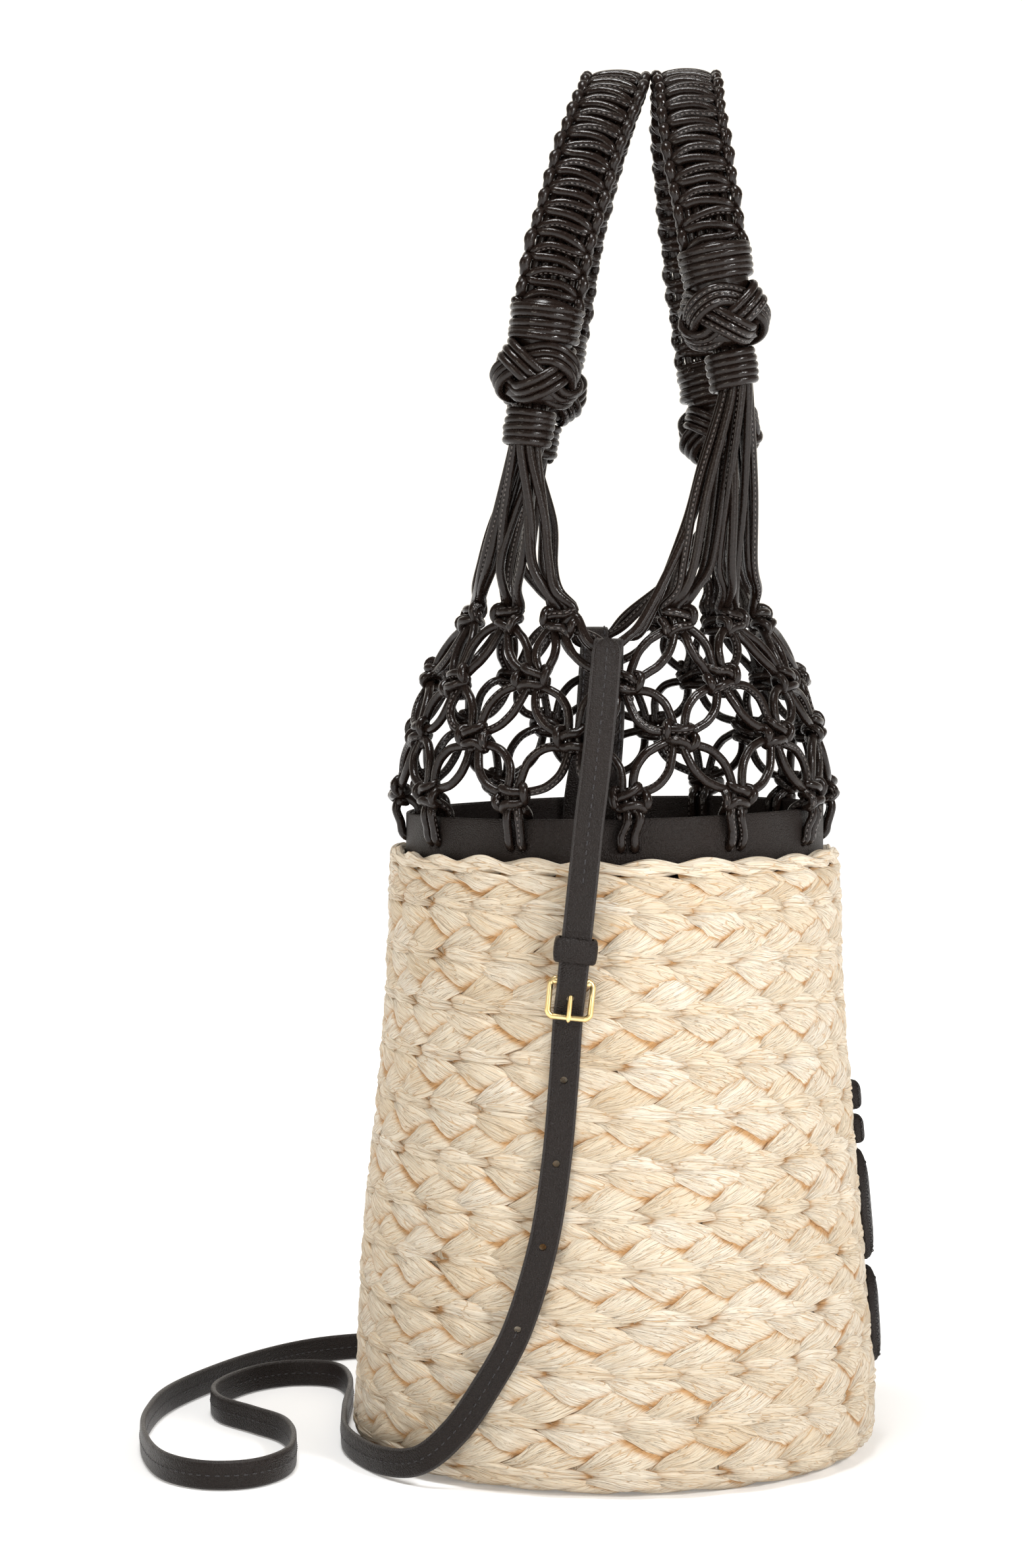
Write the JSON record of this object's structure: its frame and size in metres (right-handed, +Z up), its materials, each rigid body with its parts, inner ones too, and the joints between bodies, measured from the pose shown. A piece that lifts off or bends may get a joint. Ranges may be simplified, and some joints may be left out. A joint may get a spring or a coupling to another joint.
{
  "type": "bucket bag",
  "caption": "Bucket bag: sewn raffia body, leather collar, laced macrame net of leather cord, knotted handles and a buckled shoulder strap.",
  "frame": {"origin": "centre of the base where it stands on the floor", "axes": "+Z up, -Y the front with the sewn leather pieces, -X the side with the buckle, +X the far side; each handle arches along X"},
  "size_m": [0.2837, 0.3139, 0.5771],
  "materials": {
    "raffia": "flat braid of natural raffia straw, sewn row on row, pale and dry with fine fibre creases",
    "leather": "black fine-grained calf leather, satin, with painted edges and dark stitching",
    "leather_cord": "black round leather cord with a stitched seam along it, semi-gloss",
    "lining": "plain woven cotton lining, charcoal, matt",
    "board": "grey-brown stiffening board, matt",
    "brass": "pale gold-coloured brass, softly polished"
  },
  "bodies": {
    "bag": {"raffia_wall_lower": "raffia", "raffia_wall_upper": "raffia", "raffia_base": "raffia", "rim_braid": "raffia", "base_board": "board", "lining_wall": "lining", "lining_base": "lining", "collar_band": "leather", "collar_facing": "leather", "lacing_loops": "leather_cord", "net_knots_row_1": "leather_cord", "net_knots_row_2": "leather_cord", "net_knots_row_3": "leather_cord", "net_knots_row_4": "leather_cord", "net_legs_row_1": "leather_cord", "net_legs_row_2": "leather_cord", "net_legs_row_3": "leather_cord", "net_gathers": "leather_cord", "strap_tab_near": "leather", "strap_tab_far": "leather", "shoulder_strap": "leather", "patch_dot_upper": "leather", "patch_dot_lower": "leather", "patch_leaf_large": "leather", "patch_leaf_small": "leather"},
    "back_handle": {"back_near_bundle": "leather_cord", "back_near_whipping": "leather_cord", "back_near_knot": "leather_cord", "back_near_wrapping": "leather_cord", "back_far_bundle": "leather_cord", "back_far_whipping": "leather_cord", "back_far_knot": "leather_cord", "back_far_wrapping": "leather_cord", "back_handle_band": "leather_cord", "back_handle_core": "leather_cord"},
    "front_handle": {"front_near_bundle": "leather_cord", "front_near_whipping": "leather_cord", "front_near_knot": "leather_cord", "front_near_wrapping": "leather_cord", "front_far_bundle": "leather_cord", "front_far_whipping": "leather_cord", "front_far_knot": "leather_cord", "front_far_wrapping": "leather_cord", "front_handle_band": "leather_cord", "front_handle_core": "leather_cord"},
    "buckle_frame": {"buckle_frame": "brass"},
    "buckle_prong": {"buckle_prong": "brass"},
    "strap_keeper": {"strap_keeper": "leather"}
  },
  "joints": [
    {"name": "back_handle_fold", "type": "hinge", "parent": "bag", "child": "back_handle", "pos_m": [0, 0.057, 0.372], "axis": [-1, 0, 0], "range_deg": [0, 100]},
    {"name": "front_handle_fold", "type": "hinge", "parent": "bag", "child": "front_handle", "pos_m": [0, -0.057, 0.372], "axis": [1, 0, 0], "range_deg": [0, 100]},
    {"name": "buckle_frame_swing", "type": "hinge", "parent": "bag", "child": "buckle_frame", "pos_m": [-0.0995, 0.0194, 0.205], "axis": [0, 0.9945, 0.1045], "range_deg": [0, 12]},
    {"name": "buckle_prong_swing", "type": "hinge", "parent": "buckle_frame", "child": "buckle_prong", "pos_m": [-0.0995, 0.0194, 0.205], "axis": [0, 0.9945, 0.1045], "range_deg": [0, 45]},
    {"name": "strap_keeper_slide", "type": "slide", "parent": "bag", "child": "strap_keeper", "axis": [0, -0.1045, 0.9945], "range_m": [0, 0.04]}
  ]
}
